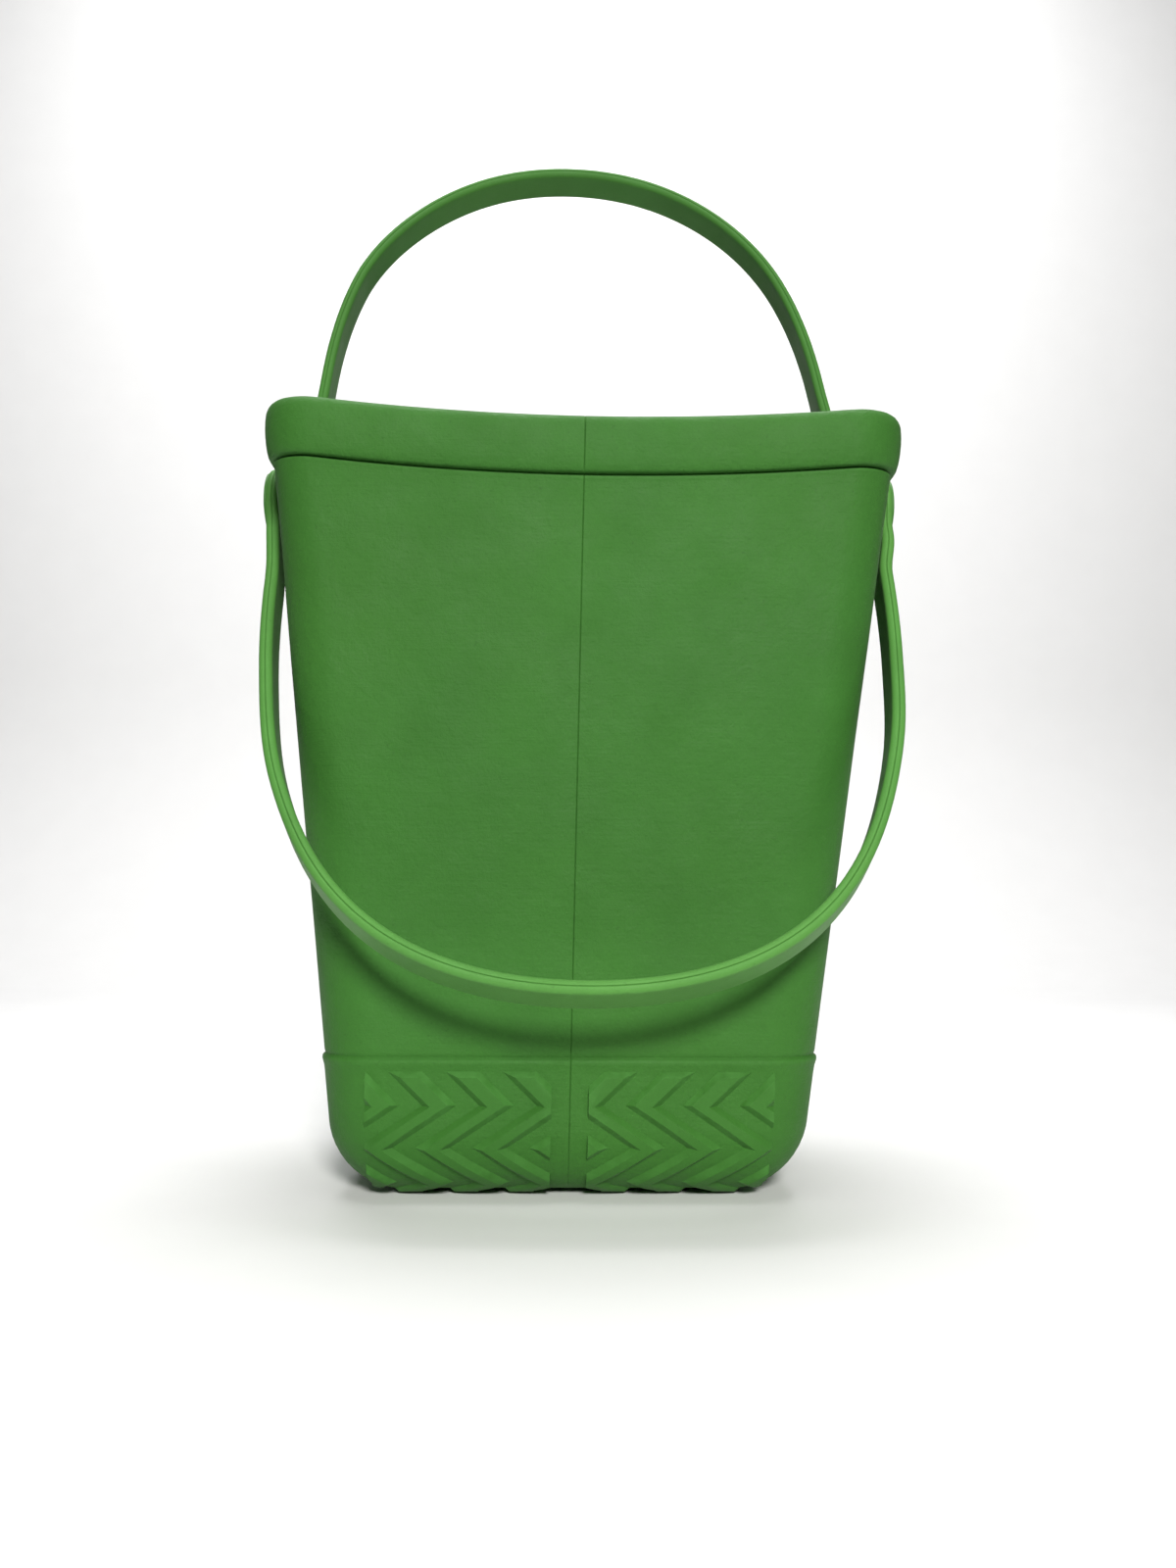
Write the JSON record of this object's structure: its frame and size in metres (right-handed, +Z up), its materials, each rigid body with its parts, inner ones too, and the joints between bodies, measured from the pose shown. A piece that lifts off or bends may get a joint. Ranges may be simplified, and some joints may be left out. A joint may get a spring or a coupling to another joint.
{
  "type": "harvest bucket bag",
  "caption": "Upright bucket-shaped bag moulded in foam, with a rolled rim, a chevron tread around the base and swinging strap handles on button pivots.",
  "frame": {"origin": "centre of the flat pad on the underside, which the bag stands on", "axes": "+Z up, -Y towards the front handle, +X to the right seen from the front"},
  "size_m": [0.2678, 0.231, 0.5006],
  "materials": {
    "body_foam": "matt closed-cell foam with a fine moulded grain",
    "strap_foam": "matt moulded foam, a little smoother than the body",
    "button": "satin moulded plastic",
    "inner_plastic": "satin moulded plastic"
  },
  "bodies": {
    "bag": {"bag_body": "body_foam", "button_front_left": "button", "button_front_right": "button", "button_rear_left": "button", "button_rear_right": "button", "spacer_front_left": "button", "spacer_front_right": "button", "spacer_rear_left": "button", "spacer_rear_right": "button", "inner_washer_front_left": "inner_plastic", "inner_washer_front_right": "inner_plastic", "inner_washer_rear_left": "inner_plastic", "inner_washer_rear_right": "inner_plastic", "inner_cap_front_left": "inner_plastic", "inner_cap_front_right": "inner_plastic", "inner_cap_rear_left": "inner_plastic", "inner_cap_rear_right": "inner_plastic"},
    "front_handle": {"handle_front": "strap_foam"},
    "rear_handle": {"handle_rear": "strap_foam"}
  },
  "joints": [
    {"name": "front_handle_swing", "type": "hinge", "parent": "bag", "child": "front_handle", "pos_m": [0, -0.031, 0.2825], "axis": [-1, 0, 0], "range_deg": [-6, 160]},
    {"name": "rear_handle_swing", "type": "hinge", "parent": "bag", "child": "rear_handle", "pos_m": [0, 0.031, 0.2825], "axis": [-1, 0, 0], "range_deg": [-17, 144]}
  ]
}
